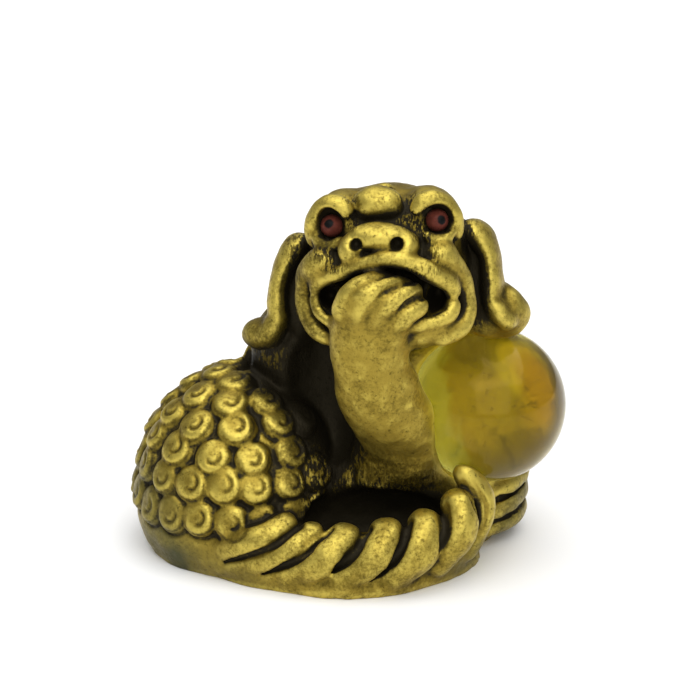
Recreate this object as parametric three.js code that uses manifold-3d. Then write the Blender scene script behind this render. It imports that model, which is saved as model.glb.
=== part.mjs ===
// A cast brass pixiu, lying curled with one forepaw in its mouth, and the glass ball that it guards.
// Millimetres, +Z up. The creature faces -Y, and the origin is on the flat underside, below its chest.
import * as THREE from "three";
import { mergeVertices } from "three/addons/utils/BufferGeometryUtils.js";
import Module from "manifold-3d";

const wasm = await Module();
wasm.setup();

// Driving sizes
const figureHeight = 41.3;
const ballRadius = 8;
const ballGap = 0.3;
const eyeRadius = 1.15;
const eyeGap = 0.3;

// The figure is drawn at this height, and grow brings the whole drawing to the real one.
const drawnHeight = 41.3;
const grow = figureHeight / drawnHeight;

// Sizes of the carving, as drawn
const scaleRadius = 1.95;
const scaleRise = 0.75;
const toeRadius = 1.35;
const floorThickness = 2.2;
const seatDepth = 0.2;

// How finely the round forms are faceted
const ballFacets = { around: 22, along: 12 };
const eyeFacets = { around: 9, along: 6 };
const massFacets = { around: 16, along: 9 };
const plainFacets = { around: 12, along: 7 };
const smallFacets = { around: 8, along: 6 };
const weld = 1e-4;

function solidOf(geometry) {
  const plain = geometry.index ? geometry.toNonIndexed() : geometry.clone();
  plain.deleteAttribute("normal");
  plain.deleteAttribute("uv");
  const merged = mergeVertices(plain, weld);
  return new wasm.Manifold(
    new wasm.Mesh({
      numProp: 3,
      vertProperties: merged.attributes.position.array,
      triVerts: new Uint32Array(merged.index.array),
    }),
  );
}

function geometryOf(solid) {
  const { vertProperties, triVerts } = solid.getMesh();
  const geometry = new THREE.BufferGeometry();
  geometry.setAttribute("position", new THREE.BufferAttribute(vertProperties, 3));
  geometry.setIndex(new THREE.BufferAttribute(triVerts, 1));
  geometry.computeVertexNormals();
  return geometry;
}

const join = (solids) => solids.reduce((whole, next) => whole.add(next));
const point = ([x, y, z]) => new THREE.Vector3(x, y, z).multiplyScalar(grow);

// The same geometry seen in another frame, such as the head's
function framed(geometries, frame) {
  return geometries.map((geometry) => geometry.clone().applyMatrix4(frame));
}

function ellipsoid(centre, radii, facets = massFacets) {
  const geometry = new THREE.SphereGeometry(1, facets.around, facets.along);
  geometry.rotateX(Math.PI / 2);
  geometry.scale(...point(radii));
  return geometry.translate(...point(centre));
}

// A round-ended limb along a smooth curve through the points. Its half-width runs through the widths,
// and flat stretches it across both the curve and the side direction that up gives.
function limb(points, widths, { sides = 10, rings = 6, flat = 1, up = [0, 1, 0] } = {}) {
  const curve = new THREE.CatmullRomCurve3(points.map(point));
  const spread = new THREE.SplineCurve(widths.map((width, i) => new THREE.Vector2(i, width * grow)));
  const halfWidth = (share) => spread.getPoint(share).y;
  const length = curve.getLength();
  const startCap = Math.min(halfWidth(0), length / 2) / length;
  const endCap = Math.min(halfWidth(1), length / 2) / length;
  const capAngles = [0, Math.PI / 4];

  const profile = capAngles.map(
    (angle) => new THREE.Vector2(Math.sin(angle), startCap * (1 - Math.cos(angle))),
  );
  for (let ring = 0; ring <= rings; ring++) {
    profile.push(new THREE.Vector2(1, THREE.MathUtils.lerp(startCap, 1 - endCap, ring / rings)));
  }
  for (const angle of [...capAngles].reverse()) {
    profile.push(new THREE.Vector2(Math.sin(angle), 1 - endCap * (1 - Math.cos(angle))));
  }

  const geometry = new THREE.LatheGeometry(profile, sides);
  const place = geometry.attributes.position;
  for (let i = 0; i < place.count; i++) {
    const share = THREE.MathUtils.clamp(place.getY(i), 0, 1);
    const along = curve.getTangentAt(share);
    const side = new THREE.Vector3(...up).cross(along).normalize();
    const front = side.clone().cross(along);
    const spot = curve.getPointAt(share);
    spot.addScaledVector(side, place.getX(i) * halfWidth(share));
    spot.addScaledVector(front, place.getZ(i) * halfWidth(share) * flat);
    place.setXYZ(i, spot.x, spot.y, spot.z);
  }
  return geometry;
}

// Body: the haunch bulges on the left, the back curls behind the head, and the chest stands under it.
const haunch = { centre: [-11.2, 1.8, 5.4], radii: [10.8, 11.3, 13.5], facets: massFacets };
const hip = { centre: [-11.6, 1.3, 3.4], radii: [10.6, 10.7, 5.5], facets: smallFacets };
const back = { centre: [-2.5, 6.3, 6], radii: [13.2, 9.8, 14.6], facets: plainFacets };
const shoulder = { centre: [5.6, 5.2, 7.5], radii: [11.8, 10.8, 13.4], facets: plainFacets };
const chest = { centre: [4.8, -0.4, 10], radii: [5.8, 4.6, 12.2], facets: plainFacets };
const elbow = { centre: [5.2, -3.4, 12.2], radii: [4.9, 3.5, 4.4], facets: smallFacets };
const nape = { centre: [3.4, 4.2, 23], radii: [9.8, 7, 9.6], facets: plainFacets };
const neck = { centre: [-1.5, 4.5, 20.2], radii: [9, 7.1, 7.6], facets: smallFacets };
const masses = [haunch, back, shoulder, chest, nape, neck];

// The floor of the hollow between tail and chest
const hollowFloor = {
  centre: [-1.5, -2, 0],
  radii: [15, 11, floorThickness],
  facets: smallFacets,
};

const bodyMasses = () =>
  [...masses, hip, elbow, hollowFloor].map(({ centre, radii, facets }) => ellipsoid(centre, radii, facets));

// Scales: rings of low buttons round a mass, each ring with its latitude, the longitude of one scale
// and the number that would go all the way round.
const haunchRings = [
  [5, -94, 20],
  [20, -79, 18],
  [33, -81, 13],
  [46, -90, 11],
  [59, -100, 8],
  [73, -110, 5],
];
const backRings = [
  [9, 90, 13],
  [27, 76, 12],
];

const within = (spot, { centre, radii }, margin) =>
  Math.hypot(...spot.map((value, i) => (value - centre[i]) / (radii[i] + margin))) < 1;

function scaleSpots({ centre, radii }, rings) {
  return rings.flatMap(([latitude, longitude, count]) =>
    Array.from({ length: count }, (_, i) => {
      const up = THREE.MathUtils.degToRad(latitude);
      const round = THREE.MathUtils.degToRad(longitude + (i * 360) / count);
      const unit = [Math.cos(up) * Math.cos(round), Math.cos(up) * Math.sin(round), Math.sin(up)];
      const spot = unit.map((value, axis) => centre[axis] + value * radii[axis]);
      const normal = new THREE.Vector3(...unit.map((value, axis) => value / radii[axis])).normalize();
      return { spot, normal };
    }),
  );
}

// A scale is left out where another mass, the tail or the head stands in its place.
const tailZone = { centre: [3, -13, 2], radii: [13.5, 7.5, 8] };
const headZone = { centre: [4, -1, 30], radii: [11, 9, 9] };
const seatZone = { centre: [14, -1, 12], radii: [10, 8, 12] };
const burial = 0.9;

function keptSpots(mass, rings) {
  const others = masses.filter((other) => other !== mass);
  return scaleSpots(mass, rings).filter(
    ({ spot }) =>
      !others.some((other) => within(spot, other, burial)) &&
      ![tailZone, headZone, seatZone].some((zone) => within(spot, zone, 0)),
  );
}

function scaleButton({ spot, normal }) {
  const profile = [
    [0, -scaleRadius / 2],
    [scaleRadius, -scaleRadius / 2],
    [scaleRadius * 0.72, scaleRise * 0.85],
    [0, scaleRise],
  ];
  const points = profile.map(([x, y]) => new THREE.Vector2(x, y).multiplyScalar(grow));
  const geometry = new THREE.LatheGeometry(points, 6);
  geometry.applyQuaternion(
    new THREE.Quaternion().setFromUnitVectors(new THREE.Vector3(0, 1, 0), normal),
  );
  return geometry.translate(...point(spot));
}

const scales = () =>
  [...keptSpots(haunch, haunchRings), ...keptSpots(shoulder, backRings), ...keptSpots(back, backRings)].map(
    scaleButton,
  );

// Head, in its own frame: x to the viewer's right, y to the back, z up, turned a little each way.
const headFrame = new THREE.Matrix4().makeRotationFromEuler(
  new THREE.Euler(...[-12, -2.5, -7].map(THREE.MathUtils.degToRad), "ZXY"),
);
headFrame.setPosition(point([4.1, -1, 31.6]));
const eyeSpots = { left: [-5.1, -6.3, 4.4], right: [5.5, -6.3, 4.9] };

function skull() {
  return [
    ellipsoid([0, 0, 0.4], [8.2, 8.4, 7.8], plainFacets),
    ellipsoid([0, -1.3, -3.2], [8.5, 7.2, 5.5], plainFacets),
    ellipsoid([0, 3.4, -1.6], [10.4, 5.8, 8], smallFacets),
    ellipsoid([0, -5.1, -0.4], [6.5, 5, 4.6], plainFacets),
    ellipsoid([-4.3, -2.6, 4], [3.6, 4.4, 3.9], smallFacets),
    ellipsoid([4.3, -2.6, 4.3], [3.6, 4.4, 3.9], smallFacets),
    ellipsoid([0, -5.4, -6], [5.3, 3.1, 2.5], smallFacets),
    ellipsoid([-0.5, -6.3, 6.6], [2.5, 2, 1.9], smallFacets),
    ellipsoid([-0.1, -8.6, 3.5], [3.3, 2.2, 1.6], smallFacets),
  ];
}

function face() {
  const brows = [
    [[-6.7, -4.6, 2.4], [-6.7, -5.2, 4.4], [-6.1, -6, 5.9], [-5, -6.7, 6.7], [-3.1, -7.4, 5.6]],
    [[6.7, -4.6, 2.8], [6.6, -5.2, 4.9], [6, -6, 6.3], [5, -6.7, 7], [3.2, -7.4, 5.8]],
  ];
  const folds = [
    [[-4.9, -7.9, 1.9], [-7.6, -5.9, 0], [-8.2, -5, -2.4], [-7.9, -5, -4.5], [-5.2, -6.8, -7]],
    [[5.2, -7.9, 2.2], [7.6, -5.8, -0.9], [8.2, -5, -3], [8.1, -5, -4.8], [5.4, -6.8, -7]],
  ];
  return [
    ...brows.map((path) => limb(path, [0.8, 1.15, 1.15, 0.8], { sides: 6, rings: 4 })),
    ...folds.map((path) => limb(path, [1.3, 1.35, 1.1, 0.8], { sides: 6, rings: 5 })),
    ellipsoid([-2.9, -8.7, 2.2], [1.35, 1.9, 1.65], smallFacets),
    ellipsoid([2.7, -8.6, 2.5], [1.3, 1.9, 1.55], smallFacets),
  ];
}

function lips() {
  const corners = { left: [-7, -6.6, -2.4], right: [7.1, -6.8, -2.8] };
  const upper = [
    corners.left,
    [-6.4, -7.4, -1.2],
    [-4.2, -8.8, -0.1],
    [-1.8, -9.8, 0.9],
    [0.9, -10.2, 1.5],
    [3, -9.9, 1.1],
    [5, -9, 0],
    [6.7, -7.7, -1.3],
    corners.right,
  ];
  const lower = [corners.left, [-6.1, -7.3, -4.6], [0, -8.6, -5.6], [5.8, -7.5, -5], corners.right];
  return [
    limb(upper, [0.6, 0.85, 0.9, 0.9], { sides: 6, rings: 8, up: [0, 0, 1] }),
    limb(lower, [0.6, 0.75, 0.8, 0.9], { sides: 6, rings: 7, up: [0, 0, 1] }),
  ];
}

function ears() {
  const bands = [
    [[-8.2, -0.6, 2.6], [-10.3, -0.8, 0.7], [-11.5, -0.9, -3.4], [-12.2, -0.3, -6.8], [-13.4, 0.1, -7.6]],
    [[7.6, -0.6, 3.9], [9.6, -0.8, 2.3], [10.4, -0.9, -1.4], [11.4, -0.2, -5.2], [12.7, 0.3, -6.3]],
  ];
  const flap = [[11, 0.7, -2.6], [12.3, 0.7, -4.4], [13.5, 0.6, -6.3]];
  return [
    ...bands.map((path) => limb(path, [1.3, 1.4, 1.2, 1.4], { sides: 6, rings: 4, flat: 2 })),
    ellipsoid([-9.6, 1, -2.6], [2.1, 2.3, 4.9], smallFacets),
    ellipsoid([8.8, 1, -1.6], [2.1, 2.3, 4.7], smallFacets),
    ellipsoid([10.4, 1.2, -5.6], [3.8, 2.4, 2.6], smallFacets),
    ellipsoid([-13.3, 0.3, -7.3], [2.2, 2.5, 1.8], smallFacets),
    limb(flap, [0.9, 1.4, 1.7], { sides: 6, rings: 3, flat: 1.5 }),
  ];
}

function faceCuts() {
  const cavity = [[-5.9, -7.8, -2.9], [-1.6, -10.2, -2.2], [1, -10.6, -2], [5.5, -7.8, -2.7]];
  return [
    limb(cavity, [1.2, 1.8, 1.9, 1.4], { sides: 8, rings: 6, flat: 2.8 }),
    ellipsoid([-2.3, -10.6, 2.9], [0.65, 1.6, 0.7], smallFacets),
    ellipsoid([1.8, -10.5, 3], [0.65, 1.6, 0.7], smallFacets),
    ellipsoid([-5, -7.9, 4.3], [1.5, 1.9, 2], smallFacets),
    ellipsoid([5.5, -7.9, 4.9], [1.75, 1.9, 1.7], smallFacets),
  ];
}

const head = () => framed([...skull(), ...face(), ...lips(), ...ears()], headFrame);

// The raised forearm, with four digits curling over into the mouth
function foreleg() {
  const arm = [
    [6.2, -2.4, 8],
    [5.7, -4.4, 12.6],
    [4.4, -6.7, 16.7],
    [3.3, -7.9, 19.2],
    [2.4, -8.8, 21.8],
    [1.9, -9.5, 25],
    [1.9, -9.8, 28],
    [2.2, -9.7, 30.4],
  ];
  const digits = [
    [[-0.5, -10.6, 28], [-0.7, -11.6, 30.4], [0.2, -12.2, 32.2], [2.1, -11.7, 33.1], [4, -9.4, 32.4]],
    [[1, -11.3, 28], [1, -12.4, 30.6], [2, -12.8, 32.2], [4, -12, 32.9], [5.4, -9.4, 31.9]],
    [[2.6, -11.3, 28], [2.9, -12.3, 30.2], [4, -12.7, 31.5], [5.6, -11.8, 32.1], [6.6, -9.4, 31.2]],
    [[3.8, -10.4, 26.2], [4.3, -11.3, 28.2], [5.2, -12, 29.7], [6.5, -11.5, 30.4], [7.1, -10.4, 30.5]],
  ];
  return [
    ellipsoid([2.4, -9.4, 29.2], [4.1, 3.1, 4], smallFacets),
    ellipsoid([3, -11.4, 31.4], [3.2, 1.8, 1.9], smallFacets),
    limb(arm, [4.6, 4.4, 4.2, 4.3, 3.9, 3.8], { rings: 5, flat: 0.75 }),
    ...digits.map((path) => limb(path, [1.2, 1.35, 1.35, 1.2], { sides: 7, rings: 3, up: [1, 0, 0] })),
  ];
}

// Tail: a low roll along the front, wrapped in locks. Each lock falls from its rim over its waist to its
// foot, and a band along the ground joins the feet.
const tailCore = [
  [-18, -2.8, 2.6],
  [-13.2, -6.5, 2.5],
  [-7, -9.2, 2.4],
  [0, -10.6, 2.3],
  [6, -9.4, 2.6],
  [10.2, -6.4, 3.2],
  [11.6, -3.4, 4.6],
];
const tailBand = [
  [-16.6, -4.2, 0.9],
  [-12.8, -7.4, 0.9],
  [-8, -10.3, 0.8],
  [-3.6, -12.3, 0.8],
  [0.5, -13, 0.8],
  [5.5, -11.4, 0.8],
  [10.2, -7.5, 0.8],
  [12.6, -4, 0.9],
];
const locks = [
  { path: [[-5.6, -9.4, 6.9], [-8.9, -10.6, 5.2], [-13.6, -7.9, 2.8]], width: 1.8 },
  { path: [[-3, -10.6, 6.6], [-6.2, -11.9, 4.4], [-10.6, -9.8, 1.8]], width: 1.5 },
  { path: [[0.5, -11, 6.5], [-2.4, -12.7, 4.2], [-7.4, -10.6, 1.1]], width: 1.9 },
  { path: [[4.2, -10.8, 7.3], [2.7, -12.8, 4.5], [-2.2, -12.2, 1.1]], width: 1.9 },
  { path: [[7.8, -10, 8], [6.9, -12.1, 4.8], [2.8, -12.1, 1.1]], width: 1.9 },
  { path: [[10.6, -8.7, 9.8], [11, -10.3, 6.3], [7.5, -9.9, 1.4]], width: 1.8 },
  { path: [[11.2, -7.2, 12.2], [13.3, -7.4, 7.4], [11.2, -7.2, 1.6]], width: 1.6 },
];

function tail() {
  const coreWidths = [2.4, 3, 3.3, 3.3, 3.3, 2.9, 2.3];
  return [
    limb(tailCore, coreWidths, { sides: 8, rings: 7, up: [0, 0, 1] }),
    limb(tailBand, [1.3, 1.5, 1.5, 1.5, 1.2], { sides: 6, rings: 7, up: [0, 0, 1] }),
    ...locks.map(({ path, width }) =>
      limb(path, [width * 0.8, width, width * 0.9], { sides: 6, rings: 3, up: [1, 0, 1] }),
    ),
  ];
}

// The other forepaw lies under the ball, its three stacked toes wrapped round its outer side.
const toePitch = 1.75 * toeRadius;
const toeHeights = [0, 1, 2].map((rank) => 2 + rank * toePitch);
const pawMiddle = toeHeights[1];
const pawTop = toeHeights[2] + toeRadius;

function paw() {
  const knuckles = [[10.5, 8.8], [14.2, 7.4], [15.1, 4], [12.6, -1]];
  const depth = 2.8;
  const flat = (pawTop - pawMiddle) / depth;
  const raised = (path, height) => path.map(([x, y]) => [x, y, height]);
  const pad = limb(raised(knuckles, pawMiddle), [depth, depth], { sides: 8, rings: 4, flat, up: [0, 0, 1] });
  const reach = [[11, 9.7], [15.6, 8.8], [17.4, 5.6], [16.5, 1.7], [13.4, -1.5]];
  const toes = toeHeights.map((height) =>
    limb(raised(reach, height), [toeRadius, toeRadius], { sides: 6, rings: 5, up: [0, 0.1, 1] }),
  );
  return [pad, ...toes];
}

// The ball touches down on the paw and leans on the tail's tip and the forearm, in a seat cut to fit it.
const ballCentre = point([14.2, -1, pawTop]);
ballCentre.z += ballRadius + ballGap - seatDepth;

function sphereAt(centre, radius, facets) {
  return new THREE.SphereGeometry(radius, facets.around, facets.along).translate(...centre);
}

const eyeCentre = (side) => point(eyeSpots[side]).applyMatrix4(headFrame);

function figure() {
  const reach = 4 * figureHeight;
  const ground = new THREE.BoxGeometry(reach, reach, reach).translate(0, 0, -reach / 2);
  const cuts = [
    ground,
    sphereAt(ballCentre, ballRadius + ballGap, ballFacets),
    sphereAt(eyeCentre("left"), eyeRadius + eyeGap, eyeFacets),
    sphereAt(eyeCentre("right"), eyeRadius + eyeGap, eyeFacets),
  ];
  const trunk = join([...bodyMasses(), ...scales(), ...head()].map(solidOf));
  const open = trunk.subtract(join(framed(faceCuts(), headFrame).map(solidOf)));
  const whole = open.add(join([...foreleg(), ...tail(), ...paw()].map(solidOf)));
  return whole.subtract(join(cuts.map(solidOf)));
}

const brass = { color: 0xb49a3f, metalness: 0.9, roughness: 0.42 };
const amberGlass = { color: 0xb99425, metalness: 0, roughness: 0.05, transparent: true, opacity: 0.6 };
const redBead = { color: 0x5a2c22, metalness: 0, roughness: 0.3 };

function part(name, geometry, look) {
  const mesh = new THREE.Mesh(geometry, new THREE.MeshStandardMaterial(look));
  mesh.name = name;
  return mesh;
}

const pixiu = new THREE.Group();
pixiu.add(part("figure", geometryOf(figure()), brass));
pixiu.add(part("ball", sphereAt(ballCentre, ballRadius, ballFacets), amberGlass));
for (const side of ["left", "right"]) {
  pixiu.add(part(`eye_${side}`, sphereAt(eyeCentre(side), eyeRadius, eyeFacets), redBead));
}

export default pixiu;
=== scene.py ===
"""Finishes the small brass pixiu: sculpts its carving, blows the ball, sets the eyes and lights it all."""

import copy

import bpy
import numpy as np
from mathutils import Euler, Matrix, Vector


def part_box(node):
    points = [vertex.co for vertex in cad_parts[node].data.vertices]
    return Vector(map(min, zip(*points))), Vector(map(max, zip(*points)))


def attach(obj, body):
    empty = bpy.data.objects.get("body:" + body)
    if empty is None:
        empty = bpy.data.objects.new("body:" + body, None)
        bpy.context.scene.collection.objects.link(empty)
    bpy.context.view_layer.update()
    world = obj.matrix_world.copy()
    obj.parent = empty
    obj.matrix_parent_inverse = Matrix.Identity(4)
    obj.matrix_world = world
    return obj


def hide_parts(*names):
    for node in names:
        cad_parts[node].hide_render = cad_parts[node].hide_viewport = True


bl_info = {
    "name": "Pixiu Figurine",
    "version": (1, 0, 0),
    "blender": (4, 5, 0),
    "location": "View3D > Sidebar > Pixiu",
    "description": "Sculpts a cast brass pixiu figurine with its glass ball and bead eyes",
    "category": "Add Mesh",
}

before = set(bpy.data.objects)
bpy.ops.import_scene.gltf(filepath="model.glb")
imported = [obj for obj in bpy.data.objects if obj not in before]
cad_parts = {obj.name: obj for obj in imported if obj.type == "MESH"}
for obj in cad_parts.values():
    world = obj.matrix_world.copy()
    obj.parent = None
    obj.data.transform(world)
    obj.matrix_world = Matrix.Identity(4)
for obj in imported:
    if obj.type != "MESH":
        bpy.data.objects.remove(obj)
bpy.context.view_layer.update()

MM = 0.001
# Grid spacing of the clay in millimetres, and the distance that empty clay starts with
CELL = 0.16
FAR = 9.0
MOST_TRIANGLES = 190000
# The casting is cut back this far round the ball
BALL_CLEARANCE = 0.25
SCALE_SEED = 7
SHELTER_SEED = 11
# The picture's framing, in millimetres: the height that its middle shows, and the camera's own sizes
PICTURE_WIDTH = 700
PIXELS_PER_MM = 9.75
PICTURE_MIDDLE = 21.72
CAMERA_DISTANCE = 420
SENSOR_WIDTH = 36


# Clay: a block of signed distances in millimetres, negative inside


class Clay:
    """A grid of signed distances that grows by joining forms and shrinks by carving them."""

    def __init__(self, low, high, cell):
        self.low = np.asarray(low, float)
        self.cell = cell
        self.shape = tuple(np.ceil((np.asarray(high) - self.low) / cell).astype(int) + 1)
        self.field = np.full(self.shape, FAR, np.float32)

    def blank(self):
        """An empty block over the same grid."""
        block = copy.copy(self)
        block.field = np.full(self.shape, FAR, np.float32)
        return block

    def window(self, low, high):
        """Returns the slices between two corners and the coordinates of their points."""
        start = np.clip(np.floor((np.asarray(low) - self.low) / self.cell).astype(int), 0, self.shape)
        stop = np.clip(np.ceil((np.asarray(high) - self.low) / self.cell).astype(int) + 1, start, self.shape)
        axes = [(self.low[i] + self.cell * np.arange(start[i], stop[i])).astype(np.float32) for i in range(3)]
        slices = tuple(slice(a, b) for a, b in zip(start, stop))
        return slices, np.meshgrid(*axes, indexing="ij", sparse=True)

    def join(self, form, blend=0, sign=1):
        """Adds a form, with a fillet about as wide as blend."""
        slices, grid = self.window(form.low - 1 - blend, form.high + 1 + blend)
        self.field[slices] = sign * soft_min(sign * self.field[slices], form.distance(*grid), blend)

    def carve(self, form, blend=0):
        """Cuts a form away, with its edge rounded over about blend."""
        self.join(form, blend, -1)

    def patch(self, centre, normal, up, reach):
        """Returns the slices round a point and each one's place across, along and out from the surface."""
        centre, normal = np.asarray(centre, float), unit(normal)
        across = unit(np.cross(up, normal))
        along = np.cross(normal, across)
        slices, (x, y, z) = self.window(centre - reach, centre + reach)
        offset = (x - centre[0], y - centre[1], z - centre[2])
        return slices, [sum(o * c for o, c in zip(offset, axis)) for axis in (across, along, normal)]

    def soften(self):
        """Rounds every crease by about one cell, as casting does."""
        for axis in range(3):
            layers = np.moveaxis(self.field, axis, 0)
            layers[1:-1] = 0.5 * layers[1:-1] + 0.25 * (layers[:-2] + layers[2:])

    def sample(self, values, places):
        """Reads a grid of values at places by straight interpolation."""
        at = np.clip((places - self.low) / self.cell, 0, np.asarray(self.shape) - 1.001)
        base = at.astype(int)
        part = (at - base).astype(np.float32)
        total = np.zeros(len(places), np.float32)
        for corner in range(8):
            bits = [(corner >> i) & 1 for i in range(3)]
            weight = np.ones(len(places), np.float32)
            for i, bit in enumerate(bits):
                weight *= part[:, i] if bit else 1 - part[:, i]
            index = base + bits
            total += weight * values[index[:, 0], index[:, 1], index[:, 2]]
        return total


def unit(vector):
    vector = np.asarray(vector, float)
    return vector / np.linalg.norm(vector)


def soft_min(a, b, blend):
    if blend <= 0:
        return np.minimum(a, b)
    near = np.maximum(blend - np.abs(a - b), 0) / blend
    return np.minimum(a, b) - near * near * (blend / 4)


def smooth_step(low, high, values):
    """Runs from 0 at low to 1 at high. High may be the smaller."""
    share = np.clip((values - low) / (high - low), 0, 1)
    return share * share * (3 - 2 * share)


def oval_distance(offset, axes, radii):
    """The share of the way from an oval's middle to its surface, and about how far it still is."""
    near = slope = 0
    for axis, radius in zip(axes, radii):
        part = sum(o * c for o, c in zip(offset, axis)) / radius
        near = near + part**2
        slope = slope + (part / radius) ** 2
    near = np.sqrt(near)
    return near, near * (near - 1) / np.sqrt(slope + 1e-9)


class Ellipsoid:
    """An ellipsoid of clay, turned by a rotation matrix if one is given."""

    def __init__(self, centre, radii, turn=None):
        self.centre, self.radii = np.asarray(centre, float), np.asarray(radii, float)
        self.turn = np.eye(3) if turn is None else np.asarray(turn, float)
        reach = np.sqrt((self.turn**2) @ (self.radii**2))
        self.low, self.high = self.centre - reach, self.centre + reach

    def distance(self, x, y, z):
        offset = (x - self.centre[0], y - self.centre[1], z - self.centre[2])
        return oval_distance(offset, self.turn.T, self.radii)[1]


class Tube:
    """A round-ended rope of clay along a smooth curve. Its half-width runs through the widths, and flat
    stretches it across both the curve and the side direction that up gives."""

    def __init__(self, points, widths, flat=1, up=(0, 0, 1), steps=20):
        path = smooth_path(points, steps * 8)
        lengths = np.concatenate([[0], np.cumsum(np.linalg.norm(np.diff(path, axis=0), axis=1))])
        total = lengths[-1]
        start, stop = min(widths[0], total * 0.45), total - min(widths[-1], total * 0.45)
        at = np.linspace(start, stop, steps + 1)
        self.path = np.stack([np.interp(at, lengths, path[:, i]) for i in range(3)], axis=1)
        self.width = smooth_values(widths, at / total)
        self.flat, self.up = flat, np.asarray(up, float)
        reach = (self.width * max(1, flat))[:, None]
        self.low, self.high = (self.path - reach).min(axis=0), (self.path + reach).max(axis=0)

    def distance(self, x, y, z):
        shape = np.broadcast_shapes(x.shape, y.shape, z.shape)
        found = np.full(shape, FAR, np.float32)
        axes = (x.ravel(), y.ravel(), z.ravel())
        for i in range(len(self.path) - 1):
            a, b, wide, wider = self.path[i], self.path[i + 1], self.width[i], self.width[i + 1]
            reach = max(wide, wider) * max(1, self.flat) + 1.6
            slices = tuple(
                slice(*np.searchsorted(axis, (min(a[k], b[k]) - reach, max(a[k], b[k]) + reach)))
                for k, axis in enumerate(axes)
            )
            near = (x[slices[0]], y[:, slices[1]], z[:, :, slices[2]])
            found[slices] = np.minimum(found[slices], self.link(a, b, wide, wider, *near))
        return found

    def link(self, a, b, wide, wider, x, y, z):
        """The distance to one straight stretch."""
        length = np.linalg.norm(b - a)
        along = (b - a) / length
        offset = (x - a[0], y - a[1], z - a[2])
        share = np.clip(sum(o * c for o, c in zip(offset, along)) / length, 0, 1)
        offset = tuple(o - share * (length * c) for o, c in zip(offset, along))
        width = wide + (wider - wide) * share
        if self.flat == 1:
            return np.sqrt(sum(o**2 for o in offset)) - width
        side = unit(np.cross(self.up, along))
        axes = (side, np.cross(side, along), along)
        near, distance = oval_distance(offset, axes, (width, width * self.flat, width))
        return np.where(near < 0.2, -0.8 * width, distance)


def smooth_path(points, count):
    """A Catmull-Rom curve through the points, as count + 1 places."""
    p = np.asarray(points, float)
    p = np.vstack([2 * p[0] - p[1], p, 2 * p[-1] - p[-2]])
    at = np.linspace(0, len(p) - 3, count + 1)
    i = np.minimum(at.astype(int), len(p) - 4)
    t = (at - i)[:, None]
    a, b, c, d = p[i], p[i + 1], p[i + 2], p[i + 3]
    return 0.5 * (2 * b + (c - a) * t + (2 * a - 5 * b + 4 * c - d) * t**2 + (3 * b - a - 3 * c + d) * t**3)


def smooth_values(values, shares):
    """Values spaced evenly from 0 to 1, read at shares with an eased step between each two."""
    values = np.asarray(values, float)
    at = np.asarray(shares) * (len(values) - 1)
    i = np.minimum(at.astype(int), len(values) - 2)
    t = at - i
    return values[i] + (values[i + 1] - values[i]) * t * t * (3 - 2 * t)


# Body, in millimetres as drawn

HAUNCH = ((-11.2, 1.8, 5.4), (10.7, 11.2, 13.4))
HIP = ((-11.6, 1.3, 3.6), (10.5, 10.5, 5.4))
BACK = ((-2.5, 6.3, 6), (13, 9.6, 14.4))
SHOULDER = ((5.6, 5.2, 7.5), (11.6, 10.6, 13.2))
CHEST = ((4.8, -0.4, 10), (5.6, 4.4, 12))
NAPE = ((3.4, 4.2, 23), (9.6, 6.8, 9.4))
NECK = ((-1.5, 4.5, 20.2), (8.8, 6.9, 7.4))
MASSES = (BACK, SHOULDER, HAUNCH, CHEST, NAPE, NECK)
# The dark hollow inside the curl of the tail, and the floor under it
HOLLOW = ((2.2, -6, 4.8), (8.6, 3.4, 3.9))
HOLLOW_FLOOR = ((-1.5, -2, 0), (15, 11, 2))


def sculpt_body(clay):
    for mass in (BACK, SHOULDER, NAPE, NECK):
        clay.join(Ellipsoid(*mass), 2.5)
    clay.join(Ellipsoid(*CHEST), 1.5)
    clay.carve(Ellipsoid((-2.6, -3.4, 18), (4.6, 5.2, 8)), 1)
    clay.join(Ellipsoid(*HAUNCH), 0.5)
    clay.join(Ellipsoid(*HIP), 0.8)
    clay.join(Ellipsoid(*HOLLOW_FLOOR), 0.8)


# Scales: rings of curled knobs, each ring with its latitude, first longitude and step, in degrees

HAUNCH_RINGS = (
    (5, -58, 18), (20, -59.5, 20), (33.3, -54, 27),
    (47, -58, 33.5), (61.5, -57, 45.5), (76, -38, 66),
)
BACK_RINGS = ((9, 90, 27.7), (24, 76, 27.7), (39, 90, 32.7), (55, 80, 45))


def scale_spots(mass, rings, rng):
    """Each scale's place on a mass and the direction that it faces."""
    centre, radii = (np.asarray(v, float) for v in mass)
    for latitude, first, step in rings:
        for i in range(round(360 / step)):
            up, turn = np.radians([latitude + rng.normal(0, 0.7), first - i * step + rng.normal(0, 1)])
            ball = np.array([np.cos(up) * np.cos(turn), np.cos(up) * np.sin(turn), np.sin(up)])
            yield centre + ball * radii, unit(ball / radii)


def inside(spot, mass, margin):
    return np.linalg.norm((spot - np.asarray(mass[0])) / (np.asarray(mass[1]) + margin)) < 1


# Scales are left out where the tail, the head or the ball's seat comes
TAIL_ZONE = ((3, -13, 2), (13.2, 7.2, 7.6))
HEAD_ZONE = ((4, -1, 30), (11, 9, 9))
SEAT_ZONE = ((14, -1, 12), (10, 8, 12))
# How far into another mass a scale may sink before it is left out
HAUNCH_SINK = 0.9
BACK_SINK = 0.3


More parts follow.
